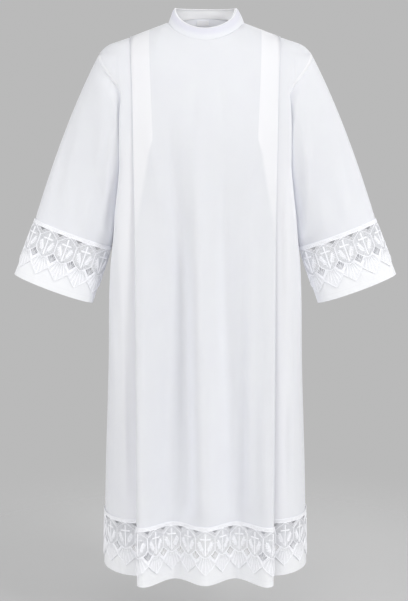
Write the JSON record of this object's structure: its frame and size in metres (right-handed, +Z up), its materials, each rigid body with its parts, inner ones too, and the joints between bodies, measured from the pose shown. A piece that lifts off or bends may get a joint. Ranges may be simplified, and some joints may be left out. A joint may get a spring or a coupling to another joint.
{
  "type": "alb robe",
  "caption": "Long white robe with a standing neckband, pressed pleats from the shoulders, set-in sleeves, and a lace border at hem and cuffs.",
  "frame": {"origin": "midway between the two neck points, where the shoulder seams meet the neckband", "axes": "+Z up along the robe's middle, front facing -Y, the wearer's left along +X"},
  "size_m": [0.9776, 0.3552, 1.4447],
  "materials": {
    "white_cloth": "matt plain weave",
    "white_lace": "matt lace",
    "label_white": "smooth woven tape"
  },
  "bodies": {
    "root": {"front": "white_cloth", "back": "white_cloth", "collar": "white_cloth", "sleeve_left": "white_cloth", "sleeve_right": "white_cloth", "hem_band_front": "white_cloth", "hem_band_back": "white_cloth", "cuff_band_left": "white_cloth", "cuff_band_right": "white_cloth", "hem_lace_front": "white_lace", "hem_lace_back": "white_lace", "cuff_lace_left_front": "white_lace", "cuff_lace_left_back": "white_lace", "cuff_lace_right_front": "white_lace", "cuff_lace_right_back": "white_lace", "label": "label_white"}
  },
  "joints": []
}
